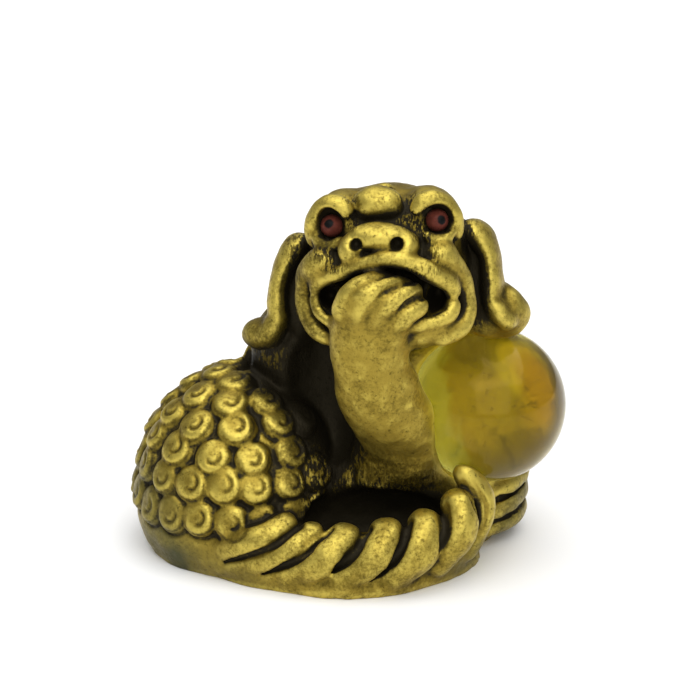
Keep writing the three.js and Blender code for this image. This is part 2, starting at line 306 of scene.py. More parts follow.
def curl(u, v, radius, rise, turn):
    """One scale: a low dome whose rim line winds in from its edge to a small hook. Returns its height,
    its line and how far round it the scale is rimmed."""
    distance = np.sqrt(u * u + v * v)
    share = distance / radius
    angle = np.mod(turn - np.arctan2(v, u), 2 * np.pi)
    rimmed = 0.5 + 0.5 * np.cos(angle - 1.9)
    dome = rise * np.sqrt(np.clip(1 - share ** (2.2 + 2.8 * rimmed), 0, 1)) * (0.82 + 0.18 * rimmed)
    line = 0
    for lap in range(2):
        wound = angle + lap * 2 * np.pi
        track = radius * np.interp(wound, (0, 3.3, 5.2, 7.5, 9.4), (0.86, 0.80, 0.56, 0.34, 0.16))
        depth = np.interp(wound, (0, 0.4, 2.6, 3.8, 5.4, 6.4, 8.6, 9.4), (0, 1, 1, 0.15, 0, 0.9, 0.9, 0))
        line = np.maximum(line, depth * np.exp(-(((distance - track) / 0.125) ** 2)))
    edge = smooth_step(1.22, 1.04, share) * (0.25 + 0.75 * rimmed)
    return np.maximum(dome - 0.33 * line, 0), line, edge


def sculpt_scales(clay, radius, rise):
    """Raises the scales, and returns a grid of how deep in a scale's line each point lies."""
    rng = np.random.default_rng(SCALE_SEED)
    height, lines, moat = (np.zeros(clay.shape, np.float32) for _ in range(3))
    for mass, rings in ((HAUNCH, HAUNCH_RINGS), (SHOULDER, BACK_RINGS), (BACK, BACK_RINGS)):
        others = [other for other in MASSES if other is not mass]
        sink = HAUNCH_SINK if mass is HAUNCH else BACK_SINK
        for spot, normal in scale_spots(mass, rings, rng):
            size = radius * rng.uniform(0.92, 1.06)
            turn = rng.normal(0.7, 0.35)
            hidden = any(inside(spot, other, sink) for other in others)
            if hidden or any(inside(spot, zone, 0) for zone in (TAIL_ZONE, HEAD_ZONE, SEAT_ZONE)):
                continue
            up = (0, 0, 1) if normal[2] < 0.9 else (0, 1, 0)
            slices, (u, v, w) = clay.patch(spot, normal, up, size * 1.5)
            near = smooth_step(1.5 * size, 0.8 * size, np.abs(w))
            raised, line, edge = (near * value for value in curl(u, v, size, rise, turn))
            higher = raised > height[slices]
            lines[slices] = np.where(higher, line, lines[slices])
            height[slices] = np.maximum(height[slices], raised)
            moat[slices] = np.maximum(moat[slices], edge)
    clay.field -= height - 0.3 * moat * (1 - smooth_step(0, 0.35, height))
    return lines


# Head, in its own frame: x to the viewer's right, y to the back, z up

HEAD_CENTRE = np.array([4.1, -1, 31.6])
HEAD_TURN = np.array(
    Matrix.Rotation(np.radians(-7), 3, "Z")
    @ Matrix.Rotation(np.radians(-12), 3, "X")
    @ Matrix.Rotation(np.radians(-2.5), 3, "Y")
)


def head_point(point):
    return HEAD_CENTRE + HEAD_TURN @ np.asarray(point, float)


def head_ellipsoid(centre, radii):
    return Ellipsoid(head_point(centre), radii, HEAD_TURN)


def head_tube(points, widths, flat=1, steps=20):
    return Tube([head_point(p) for p in points], widths, flat, HEAD_TURN @ (0, 1, 0), steps)


def work_head(action, *forms):
    """Joins or carves ellipsoids in the head's frame, each with its centre, radii and blend."""
    for centre, radii, blend in forms:
        action(head_ellipsoid(centre, radii), blend)


def sculpt_skull(clay):
    work_head(
        clay.join,
        ((0, 3.4, -1.6), (10.2, 5.6, 7.8), 1.5),
        ((0, 0, 0.4), (8, 8.2, 7.7), 1.5),
        ((0, -1.3, -3.2), (8.3, 7, 5.4), 1.5),
        ((0, -5.1, -0.4), (6.3, 4.8, 4.4), 1.5),
        ((-4.3, -2.6, 4), (3.3, 4.2, 3.7), 1.2),
        ((4.3, -2.6, 4.3), (3.3, 4.2, 3.7), 1.2),
        ((0, -5.4, -6), (5.2, 3, 2.4), 1.2),
        ((4, -5.6, -5.8), (3.2, 2.6, 2), 1.2),
    )


# Brows, cheek folds, eye sockets and lower lids, the viewer's left one first

BROWS = (
    [
        (-6.8, -5.2, 2.3), (-6.9, -5.9, 4.4), (-6.2, -6.7, 5.8),
        (-5, -7.2, 6.6), (-3.9, -7.6, 6.4), (-3.2, -7.8, 5.5),
    ],
    [
        (7, -5.2, 2.9), (7.1, -5.9, 4.9), (6.4, -6.7, 6.3),
        (5.3, -7.2, 7), (4.2, -7.6, 6.8), (3.3, -7.8, 5.7),
    ],
)
FOLDS = (
    [
        (-4.7, -7.9, 1.1), (-6.2, -7.2, 0.8), (-7.6, -5.9, -0.5), (-8.2, -5, -2.4),
        (-7.9, -5, -4.5), (-6.8, -5.8, -6.2), (-5.2, -6.8, -7),
    ],
    [
        (5.2, -7.9, 2.2), (6.4, -7, 0.9), (7.6, -5.8, -0.9), (8.2, -5, -3),
        (8.1, -5, -4.8), (7.2, -5.8, -6.2), (5.4, -6.8, -7),
    ],
)
SOCKETS = (((-5.1, -7.9, 4.4), (1.45, 2, 2.1), 0.3), ((5.5, -7.9, 4.9), (1.75, 2, 1.8), 0.3))
LIDS = (
    [(-6.9, -6.2, 3.6), (-6.1, -7.3, 2.8), (-5, -7.9, 2.6), (-3.9, -8.1, 3.3)],
    [(7.1, -6.2, 4), (6.6, -7.1, 3.4), (5.5, -7.6, 3.2), (4.2, -8, 3.7)],
)


def sculpt_face(clay):
    for brow in BROWS:
        clay.join(head_tube(brow, [0.8, 1.05, 1.1, 1.1, 1, 0.7]), 0.8)
    for fold in FOLDS:
        clay.join(head_tube(fold, [1.3, 1.4, 1.15, 1, 1, 1, 0.7], steps=26), 0.9)
    cheeks = (((-6.1, -6.6, 0.1), (1.8, 1.7, 1.5), 0.7), ((5.6, -7, 1.5), (1.7, 1.7, 1.7), 0.7))
    work_head(clay.join, *cheeks)
    work_head(clay.carve, *SOCKETS)
    for lid in LIDS:
        clay.join(head_tube(lid, [0.4, 0.5, 0.5, 0.4], steps=14), 0.5)
    bumps = (((-0.5, -6.2, 6.6), (2.5, 1.9, 1.8), 0.7), ((0, -4.2, 8), (0.9, 0.8, 0.5), 0.3))
    nose = ((-0.1, -8.6, 3.5), (3.1, 2.1, 1.5), 0.35)
    wings = (((-2.9, -8.7, 2.2), (1.25, 1.8, 1.55), 0.5), ((2.7, -8.6, 2.5), (1.2, 1.8, 1.45), 0.5))
    work_head(clay.join, *bumps, nose, *wings)
    nostril = ((0.68, 1.6, 0.72), 0.2)
    work_head(clay.carve, ((-2.3, -10.6, 2.9), *nostril), ((1.8, -10.5, 3), *nostril))


UPPER_LIP = [
    (-7, -6.6, -2.4), (-6.4, -7.4, -1.2), (-4.2, -8.8, -0.1), (-1.8, -9.8, 0.9), (0.9, -10.2, 1.5),
    (3, -9.9, 1.1), (5, -9, 0), (6.7, -7.7, -1.3), (7.1, -6.8, -2.8),
]
LOWER_LIP = [
    (-7, -6.6, -2.4), (-6.7, -7, -3.9), (-5.6, -7.6, -4.9), (-3, -8.3, -5.4), (0, -8.6, -5.6),
    (3, -8.4, -5.4), (5, -7.7, -5.1), (6.6, -7.1, -4.4), (7.1, -6.8, -2.8),
]
MOUTH = [
    (-5.9, -7.8, -2.9), (-4.4, -9, -2.5), (-1.6, -10.2, -1.8), (1, -10.6, -1.5),
    (3.2, -10, -1.7), (4.8, -9, -2.3), (5.5, -7.8, -2.9),
]


def sculpt_mouth(clay):
    clay.carve(head_tube(MOUTH, [1.1, 1.9, 2.1, 2.1, 2.1, 1.9, 1.3], 2.8, steps=26), 0.3)
    corners = (((5.3, -7.6, -2.5), (1.35, 3.6, 1.75), 0.4), ((-5.6, -7.4, -2.8), (1.2, 3.4, 1.25), 0.4))
    work_head(clay.carve, *corners)
    clay.join(head_tube(UPPER_LIP, [0.55, 0.7, 0.8, 0.8, 0.8, 0.9, 1, 1, 0.85], steps=32), 0.5)
    clay.join(head_tube(LOWER_LIP, [0.55, 0.6, 0.65, 0.6, 0.6, 0.7, 0.8, 0.9, 0.85], steps=32), 0.4)


EARS = (
    [
        (-8.2, -0.6, 2.6), (-10, -0.8, 1), (-11.1, -0.9, -1.5), (-11.5, -0.9, -3.9),
        (-11.5, -0.7, -5.4), (-12.2, -0.3, -6.8), (-13.4, 0.1, -7.6),
    ],
    [
        (7.6, -0.6, 3.9), (9.2, -0.8, 2.8), (10.2, -0.8, 0.9), (10.4, -0.9, -1.4),
        (10.4, -0.6, -3.6), (11.4, -0.2, -5.2), (12.7, 0.3, -6.3),
    ],
)


def sculpt_ears(clay):
    roots = (((-9.6, 1, -2.6), (2, 2.2, 4.8), 0.8), ((8.8, 1, -1.6), (2, 2.2, 4.6), 0.8))
    work_head(clay.join, *roots)
    for ear in EARS:
        clay.join(head_tube(ear, [1.2, 1.35, 1.2, 1.1, 1.1, 1.3, 1.3], 2, steps=26), 0.6)
    clay.join(head_ellipsoid((-13.3, 0.3, -7.3), (2.1, 2.4, 1.7)), 0.7)
    flap = head_tube([(11, 0.7, -2.6), (12.3, 0.7, -4.4), (13.4, 0.6, -6.2)], [0.8, 1.3, 1.6], 1.5, steps=14)
    clay.join(flap, 0.7)
    clay.join(head_ellipsoid((10.4, 1.2, -5.6), (3.7, 2.3, 2.5)), 0.7)


# Mane: grooves down the back of the head and the nape, at these angles from straight back, and how far
# each sways to the viewer's right at each height

MANE_TURNS = (-66, -47, -29, -10, 9, 28, 47, 66)
MANE_SWAY = ((38.5, 0), (35.5, 0.9), (31.5, -0.7), (27.5, 0.8), (23.5, -0.7), (19.5, 0.5))


def sculpt_mane(clay):
    share = np.linspace(0, 1, 300)[:, None]
    for turn in np.radians(MANE_TURNS):
        groove = []
        for height, sway in MANE_SWAY:
            inner = np.array([3.4 + sway, 1, height])
            outer = inner + 24 * np.array([np.sin(turn), np.cos(turn), 0])
            line = outer + (inner - outer) * share
            groove.append(line[np.argmax(clay.sample(clay.field, line) < 0)])
        clay.carve(Tube(groove, [0.1, 0.45, 0.5, 0.5, 0.4, 0.1], steps=26), 0.7)


# Raised forepaw

ARM_PATH = [
    (6.2, -2.4, 8), (5.7, -4.4, 12.6), (4.4, -6.7, 16.7), (3.3, -7.9, 19.2), (2.4, -8.8, 21.8),
    (1.9, -9.5, 25), (1.9, -9.8, 28), (2.2, -9.7, 30.4),
]
ARM_WIDTHS = [4.6, 4.4, 4.1, 4.2, 4.2, 3.9, 3.9, 3.7]
DIGITS = (
    [(-0.5, -10.6, 28), (-0.7, -11.6, 30.4), (0.2, -12.2, 32.2), (2.1, -11.7, 33.1), (4, -9.4, 32.4)],
    [(1, -11.3, 28), (1, -12.4, 30.6), (2, -12.8, 32.2), (4, -12, 32.9), (5.4, -9.4, 31.9)],
    [(2.6, -11.3, 28), (2.9, -12.3, 30.2), (4, -12.7, 31.5), (5.6, -11.8, 32.1), (6.6, -9.4, 31.2)],
    [(3.8, -10.4, 26.2), (4.3, -11.3, 28.2), (5.2, -12, 29.7), (6.5, -11.5, 30.4), (7.1, -10.4, 30.5)],
)
PALM = (2.4, -9.4, 29)


def between(one, two, outward, centre):
    """The path midway between two others, moved outward from a centre."""
    middle = (smooth_path(one, 8) + smooth_path(two, 8)) / 2
    away = middle - np.asarray(centre)
    return middle + outward * away / np.linalg.norm(away, axis=1)[:, None]


def sculpt_foreleg(clay):
    clay.join(Ellipsoid((5.2, -3.4, 12.2), (4.8, 3.4, 4.2)), 1.2)
    clay.join(Tube(ARM_PATH, ARM_WIDTHS, 0.75, up=(0, 1, 0), steps=30), 0.8)
    clay.join(Ellipsoid(PALM, (3.9, 2.9, 3.7)), 1)
    for path, extra in zip(DIGITS, (0, 0, 0, 0.15)):
        widths = [width + extra for width in (0.8, 1.1, 1.15, 1.05, 0.9)]
        clay.join(Tube(path, widths, steps=18), 0.8)
    for one, two, width in zip(DIGITS, DIGITS[1:], (0.12, 0.16, 0.45)):
        groove = between(one, two, 1, PALM)[3:]
        clay.carve(Tube(groove, [0.05, width, width, width * 0.9], steps=18), 0.4)


# Tail and its locks: each lock's rim, waist and foot, and the grooves between them

TAIL_PATH = [
    (-18, -2.8, 2.6), (-13.2, -6.5, 2.5), (-7, -9.2, 2.4), (0, -10.6, 2.3),
    (6, -9.4, 2.6), (10.2, -6.4, 3.2), (11.6, -3.4, 4.6),
]
TAIL_WIDTHS = [2.4, 3, 3.3, 3.3, 3.3, 2.9, 2.3]
BASE_PATH = [
    (-16.6, -4.2, 0.9), (-12.8, -7.4, 0.9), (-8, -10.3, 0.8), (-3.6, -12.3, 0.8),
    (0.5, -13, 0.8), (5.5, -11.4, 0.8), (10.2, -7.5, 0.8), (12.6, -4, 0.9),
]
LOCKS = (
    ((-5.6, -9.4, 6.9), (-8.9, -10.6, 5.2), (-13.6, -7.9, 2.8), 1.8),
    ((-3, -10.6, 6.6), (-6.2, -11.9, 4.4), (-10.6, -9.8, 1.8), 1.5),
    ((0.5, -11, 6.5), (-2.4, -12.7, 4.2), (-7.4, -10.6, 1.1), 2.15),
    ((4.2, -10.8, 7.3), (2.7, -12.8, 4.5), (-2.2, -12.2, 1.1), 2.25),
    ((7.8, -10, 8), (6.9, -12.1, 4.8), (2.8, -12.1, 1.1), 2.25),
    ((10.6, -8.7, 9.8), (11, -10.3, 6.3), (7.5, -9.9, 1.4), 2.05),
    ((11.2, -7.2, 12.2), (13.3, -7.4, 7.4), (11.2, -7.2, 1.6), 1.6),
)
STRANDS = (
    [(12.3, -8.6, 11.2), (14, -8.9, 7.6), (12.6, -8.9, 2.9)],
    [(11.3, -8.5, 11), (12.7, -8.9, 7.2), (11.3, -8.8, 2.9)],
)


def sculpt_tail(clay):
    tail = clay.blank()
    tail.join(Tube(TAIL_PATH, TAIL_WIDTHS, steps=30))
    for *path, width in LOCKS:
        tail.join(Tube(path, [width * 0.8, width, width * 0.9], steps=18), 0.2)
    for (*one, left), (*two, right) in zip(LOCKS, LOCKS[1:]):
        width = 0.2 * min(left, right)
        valley = between(one, two, 1.25, (5, 10, 3))
        tail.carve(Tube(valley, [width * 1.1, width * 1.25, width * 1.25, width * 0.5], steps=18), 0.35)
    for strand in STRANDS:
        tail.carve(Tube(strand, [0.1, 0.3, 0.2], steps=16), 0.15)
    tail.join(Tube(BASE_PATH, [1.2, 1.4, 1.4, 1.4, 1.4, 1.3, 1.2], steps=24), 0.6)
    clay.field = soft_min(clay.field, tail.field, 0.4)


# Paw under the ball

PAW_PAD = [(10.5, 8.4), (14, 7), (14.6, 3.8), (12.4, -1)]
PAD_RADIUS = 2.4
TOE_PATH = [(11, 9.7), (15.6, 8.8), (17.4, 5.6), (16.5, 1.7), (13.4, -1.5)]
TOE_RADIUS = 1.35
TOE_PITCH = 1.75 * TOE_RADIUS
LOWEST_TOE = 2


def sculpt_paw(clay):
    heights = [LOWEST_TOE + rank * TOE_PITCH for rank in range(3)]
    pad = [(x, y, heights[1]) for x, y in PAW_PAD]
    clay.join(Tube(pad, [PAD_RADIUS] * 2, (TOE_PITCH + TOE_RADIUS) / PAD_RADIUS, steps=14), 0.8)
    lifts = ((0, 0.1, 0.5, 0.6, 0.3), (0, 0.2, 0.4, 0.2, -0.2), (0, 0.1, 0.1, -0.2, -0.6))
    toes = [
        [(x, y, height + up) for (x, y), up in zip(TOE_PATH, lift)] for height, lift in zip(heights, lifts)
    ]
    for toe, width in zip(toes, (1.25, 1.35, 1.4)):
        clay.join(Tube(toe, [width, width, width, width * 0.8], steps=22), 0.9)
    for one, two in zip(toes, toes[1:]):
        groove = between(one, two, 0.85, (12, 4, heights[1]))[4:]
        clay.carve(Tube(groove, [0.05, 0.16, 0.3, 0.32], steps=22), 0.4)


# From clay to a mesh: the corners of a grid cell, and the pairs of them that share an edge

CORNERS = np.array([[(c >> 0) & 1, (c >> 1) & 1, (c >> 2) & 1] for c in range(8)])
EDGES = [(a, b) for a in range(8) for b in range(a + 1, 8) if bin(a ^ b).count("1") == 1]


def skin(clay):
    """The surface where the clay's distance is zero, as places and four-sided faces."""
    full = clay.field < 0
    n = clay.shape
    count = np.zeros([s - 1 for s in n], np.uint8)
    for dx, dy, dz in CORNERS:
        count += full[dx : n[0] - 1 + dx, dy : n[1] - 1 + dy, dz : n[2] - 1 + dz]
    cells = np.argwhere((count > 0) & (count < 8))
    number = np.full(count.shape, -1, np.int32)
    number[tuple(cells.T)] = np.arange(len(cells))
    values = np.stack([clay.field[tuple((cells + c).T)] for c in CORNERS], axis=1)
    total, crossings = np.zeros((len(cells), 3), np.float32), np.zeros(len(cells), np.float32)
    for a, b in EDGES:
        cut = (values[:, a] < 0) != (values[:, b] < 0)
        share = values[cut, a] / (values[cut, a] - values[cut, b])
        total[cut] += CORNERS[a] + share[:, None] * (CORNERS[b] - CORNERS[a])
        crossings[cut] += 1
    places = clay.low + clay.cell * (cells + total / crossings[:, None])
    faces = []
    for axis in range(3):
        one, two = (axis + 1) % 3, (axis + 2) % 3
        low, high = [slice(1, -1)] * 3, [slice(1, -1)] * 3
        low[axis], high[axis] = slice(0, -1), slice(1, None)
        start, stop = full[tuple(low)], full[tuple(high)]
        for outward in (True, False):
            spots = np.argwhere((start & ~stop) if outward else (~start & stop))
            ring = []
            for step_one, step_two in ((0, 0), (1, 0), (1, 1), (0, 1)):
                cell = spots.copy()
                cell[:, one] += step_one
                cell[:, two] += step_two
                ring.append(number[tuple(cell.T)])
            faces.append(np.stack(ring if outward else ring[::-1], axis=1))
    return places, np.concatenate(faces)


def settle(clay, places, rounds=3):
    """Moves the places on to the clay's true surface, and none below the ground."""
    h = clay.cell * 0.5
    for _ in range(rounds):
        value = clay.sample(clay.field, places)
        ahead, behind = ([clay.sample(clay.field, places + s) for s in step * np.eye(3)] for step in (h, -h))
        slope = (np.stack(ahead, axis=1) - np.stack(behind, axis=1)) / (2 * h)
        move = value[:, None] * slope / np.maximum((slope**2).sum(axis=1), 0.25)[:, None]
        places = places - np.clip(move, -h, h)
        places[:, 2] = np.maximum(places[:, 2], 0)
    return places


def lie_along(axis, values):
    """A row of values shaped to run along one axis of a grid."""
    return values.reshape([-1 if i == axis else 1 for i in range(3)])


def blurred(values, reach):
    """A grid averaged twice over a cube of reach cells each way."""
    out = values
    for _ in range(2):
        for axis in range(3):
            size = out.shape[axis]
            ends = np.clip(np.arange(size) + reach, 0, size - 1)
            starts = np.clip(np.arange(size) - reach - 1, -1, size - 1)
            sums = np.cumsum(out, axis=axis, dtype=np.float64)
            upper = np.take(sums, ends, axis=axis)
            lower = np.where(lie_along(axis, starts >= 0), np.take(sums, np.maximum(starts, 0), axis=axis), 0)
            out = ((upper - lower) / lie_along(axis, ends - starts)).astype(np.float32)
    return out


def closeness(clay, places, reach):
    """How much brass stands round each place within reach, from 0 on a point to 1 in a pit."""
    skip = 2 if reach / clay.cell > 6 else 1
    coarse = Clay(clay.low, clay.low, clay.cell * skip)
    grid = clay.field[::skip, ::skip, ::skip]
    coarse.shape = grid.shape
    full = np.clip(0.5 - grid / coarse.cell, 0, 1).astype(np.float32)
    return coarse.sample(blurred(full, max(1, round(reach / coarse.cell))), places)


# Colour zones, with a centre, radii and a strength, in millimetres: painted shade and light, a grey-green tone
# and hair marks. A minus strength lightens, as painted light

# Painted shade in the deep hollows and under the head, a little darkening on the nose, tail locks and paw, and
# painted light at the minus strengths
PAINTED_SHADE_AND_LIGHT = (
    # Painted shade: the hollow inside the tail's curl, between the arm and the haunch, round the neck, and
    # under and beside the head
    ((3, -5.6, 4), (10, 4.6, 5.6), 1.2),
    ((-1.8, -2.5, 18.5), (5.6, 7, 9.5), 1.2),
    ((-6, 0.5, 21), (6.5, 7.5, 6), 1.05),
    ((-4.5, -6, 12), (3, 5, 6), 0.35),
    ((4, -6, 23.5), (6.5, 4, 3.5), 0.4),
    ((-4.4, -6, 29), (2.4, 4, 6), 0.35),
    ((11.6, -6, 29), (2, 4, 5), 0.2),
    # A little darker on the nose, the front of the tail locks and the paw under the ball
    ((3.2, -11, 33.6), (4.5, 3, 2.8), 0.16),
    ((0, -12.5, 3.5), (14, 5, 5), 0.14),
    ((17.5, 3, 3.5), (4.5, 9, 6), 0.1),
    # Painted light: lightens the shaded chest under the forearm, and the brass round the ball's seat where the
    # glass ball blocks the light
    ((5, -5.4, 10.8), (4.2, 3.5, 3), -0.4),
    ((14.2, -1, 16.2), (9.6, 9.6, 9.6), -1.6),
)
# Places made a darker grey-green, low at the sides of the haunch and by the paw
LOW_GREY_GREEN = (
    ((-22, -2, 2), (9, 12, 10), 0.75),
    ((-14, -9, 0), (9, 5, 4), 0.5),
    ((14, -8, 0), (6, 6, 5), 0.5),
    ((18, 3, 2), (4, 8, 6), 0.6),
)
# Painted shade in the head's own frame: round the eyes, behind the cheeks and inside the ears
HEAD_PAINTED_SHADE = (
    ((-5.1, -6.9, 4.2), (1.9, 2.2, 2.3), 0.9),
    ((5.5, -6.9, 4.7), (2, 2.2, 2), 0.9),
    ((-5.2, -7, 2.2), (2.2, 2.4, 1), 0.5),
    ((-8.6, -3, 0.5), (1.6, 4, 3), 0.35),
    ((9.2, -0.6, -5.5), (1.9, 3, 4.5), 0.5),
)
# Short hair scratched into the head, in its own frame
HAIR = (
    ((-2.9, -8, 4.9), (1.3, 2.5, 1), 1),
    ((2.8, -7.6, 5.1), (1.9, 2.5, 1.4), 1),
    ((3.9, -7.8, 3.6), (1.4, 2.5, 1.4), 0.9),
    ((-4.4, -8.4, 0.5), (2, 2, 0.9), 1),
    ((-3.3, -6.3, 7.2), (1.2, 2.5, 1.2), 0.9),
    ((2.6, -6, 7.4), (1.4, 2.5, 1.4), 0.9),
    ((8.2, -1.5, 3.4), (1.8, 2.5, 1.6), 0.8),
    ((-9.2, -1.5, 1.3), (1.8, 2.5, 2.4), 0.9),
    ((5.2, -8.2, 1.8), (1.6, 2.5, 1.4), 0.6),
    ((-5.6, -7.6, 1.7), (1.9, 2.5, 0.9), 0.8),
    ((4, -9.6, 0.2), (2.6, 2, 0.9), 0.5),
    ((9, -1, -2.5), (1.4, 4, 5), 0.6),
)
# The same on the chest and neck
BODY_HAIR = (
    ((3.6, -5, 10.5), (6, 4.5, 4.5), 0.8),
    ((-3, -5, 9), (3, 5, 5), 0.8),
    ((-7, -1, 20.5), (4, 5, 3), 0.9),
    ((-3, -3, 16), (4, 5, 7), 0.35),
)


def zoned(places, zones):
    """How far each place lies in soft-edged zones."""
    total = np.zeros(len(places), np.float32)
    for centre, radii, strength in zones:
        total += strength * smooth_step(1.15, 0.55, np.linalg.norm((places - centre) / radii, axis=1))
    return total


def shelter(clay, places, normals, reach, rays=12):
    """The share of the view round each place that brass blocks within reach."""
    rng = np.random.default_rng(SHELTER_SEED)
    blocked = np.zeros(len(places), np.float32)
    turns = rng.uniform(0, 2 * np.pi, rays)
    rises = np.sqrt((np.arange(rays) + 0.5) / rays)
    side = np.cross(normals, np.where(np.abs(normals[:, 2:]) < 0.9, (0, 0, 1), (1, 0, 0)))
    side /= np.linalg.norm(side, axis=1)[:, None]
    front = np.cross(normals, side)
    for turn, rise in zip(turns, rises):
        flat = np.sqrt(1 - rise * rise)
        ray = normals * rise + (side * np.cos(turn) + front * np.sin(turn)) * flat
        hit = np.zeros(len(places), np.float32)
        for step in np.array((0.12, 0.25, 0.45, 0.7, 1)) * reach:
            hit = np.maximum(hit, smooth_step(0.1, -0.2, clay.sample(clay.field, places + ray * step)))
        blocked += hit / rays
    return blocked


def waviness(clay, amount, wavelength, seed):
    """A slow random swell through the whole block, like a hand-worked surface."""
    rng = np.random.default_rng(seed)
    steps = [int(np.ceil(s * clay.cell / wavelength)) + 2 for s in clay.shape]
    swell = rng.normal(0, amount, steps).astype(np.float32)
    for axis in range(3):
        at = np.arange(clay.shape[axis]) * clay.cell / wavelength
        low = at.astype(int)
        share = lie_along(axis, smooth_step(0, 1, at - low).astype(np.float32))
        swell = np.take(swell, low, axis=axis) * (1 - share) + np.take(swell, low + 1, axis=axis) * share
    return swell


def model_clay(scale_radius, scale_rise, ball_centre, ball_radius, cell):
    """Sculpts the whole figure in millimetres. Returns it with the grid of its scales' lines."""
    clay = Clay((-24.2, -16.4, -0.9), (20, 18.4, 42.6), cell)
    sculpt_body(clay)
    lines = sculpt_scales(clay, scale_radius, scale_rise)
    sculpt_skull(clay)
    sculpt_mane(clay)
    sculpt_ears(clay)
    sculpt_face(clay)
    sculpt_mouth(clay)
    sculpt_foreleg(clay)
    clay.carve(Ellipsoid(*HOLLOW), 0.6)
    sculpt_tail(clay)
    sculpt_paw(clay)
    for amount, wavelength, seed in ((0.06, 2.6, 3), (0.045, 1.2, 4), (0.02, 0.6, 5)):
        clay.field += waviness(clay, amount, wavelength, seed)
    clay.soften()
    clay.carve(Ellipsoid(ball_centre, (ball_radius + BALL_CLEARANCE,) * 3), 0.2)
    _, (_, _, z) = clay.window(clay.low, clay.low + np.array(clay.shape) * cell)
    np.maximum(clay.field, -z, out=clay.field)
    return clay, lines


# Meshes and materials


def quad_object(name, places, quads):
    mesh = bpy.data.meshes.new(name)
    mesh.vertices.add(len(places))
    mesh.vertices.foreach_set("co", np.asarray(places, np.float32).ravel())
    mesh.loops.add(len(quads) * 4)
    mesh.loops.foreach_set("vertex_index", np.asarray(quads, np.int32).ravel())
    mesh.polygons.add(len(quads))
    mesh.polygons.foreach_set("loop_start", np.arange(0, len(quads) * 4, 4, dtype=np.int32))
    mesh.update(calc_edges=True)
    mesh.validate()
    mesh.shade_smooth()
    thing = bpy.data.objects.new(name, mesh)
    bpy.context.scene.collection.objects.link(thing)
    return thing


def thin_out(thing, share):
    """Collapses the mesh to a share of its faces, and keeps the result."""
    modifier = thing.modifiers.new("thin", "DECIMATE")
    modifier.ratio = share
    graph = bpy.context.evaluated_depsgraph_get()
    mesh = bpy.data.meshes.new_from_object(thing.evaluated_get(graph))
    thing.modifiers.clear()
    old, thing.data = thing.data, mesh
    bpy.data.meshes.remove(old)
    mesh.shade_smooth()


def read_vectors(items, name):
    vectors = np.empty(len(items) * 3, np.float32)
    items.foreach_get(name, vectors)
    return vectors.reshape(-1, 3)


def store(mesh, name, values):
    mesh.attributes.new(name, "FLOAT", "POINT").data.foreach_set("value", np.asarray(values, np.float32))


class Nodes:
    """A short way to write a material's nodes."""

    def __init__(self, name):
        self.material = bpy.data.materials.new(name)
        self.material.use_nodes = True
        self.tree = self.material.node_tree
        self.shader = self.tree.nodes["Principled BSDF"]

    def add(self, kind, inputs=(), **settings):
        node = self.tree.nodes.new(kind)
        for key, value in settings.items():
            setattr(node, key, value)
        for key, value in dict(inputs).items():
            self.put(node.inputs[key], value)
        return node

    def put(self, socket, value):
        if isinstance(value, bpy.types.NodeSocket):
            self.tree.links.new(value, socket)
        else:
            socket.default_value = value

    def shade(self, socket, value):
        self.put(self.shader.inputs[socket], value)

    def math(self, operation, *values):
        return self.add("ShaderNodeMath", enumerate(values), operation=operation).outputs[0]

    def total(self, first, *rest):
        for value in rest:
            first = self.math("ADD", first, value)
        return first

    def about(self, value, amount, middle=0.5):
        """How far a value lies from its middle, times an amount."""
        return self.math("MULTIPLY", self.math("SUBTRACT", value, middle), amount)

    def place(self):
        return self.add("ShaderNodeTexCoord").outputs["Object"]

    def stretched(self, place, scale):
        return self.add("ShaderNodeMapping", {"Vector": place, "Scale": scale}).outputs["Vector"]

    def attribute(self, name):
        return self.add("ShaderNodeAttribute", attribute_name=name).outputs["Fac"]

    def noise(self, scale, detail, roughness, place):
        inputs = {"Scale": scale, "Detail": detail, "Roughness": roughness, "Vector": place}
        return self.add("ShaderNodeTexNoise", inputs).outputs["Fac"]

    def span(self, value, low, high, to_low=0, to_high=1):
        inputs = {"Value": value, "From Min": low, "From Max": high, "To Min": to_low, "To Max": to_high}
        return self.add("ShaderNodeMapRange", inputs, interpolation_type="SMOOTHSTEP").outputs[0]

    def mix(self, share, a, b):
        return self.add("ShaderNodeMix", {"Factor": share, "A": a, "B": b}, data_type="RGBA").outputs["Result"]


def darker(colour, share):
    return (*(c * share for c in colour), 1)


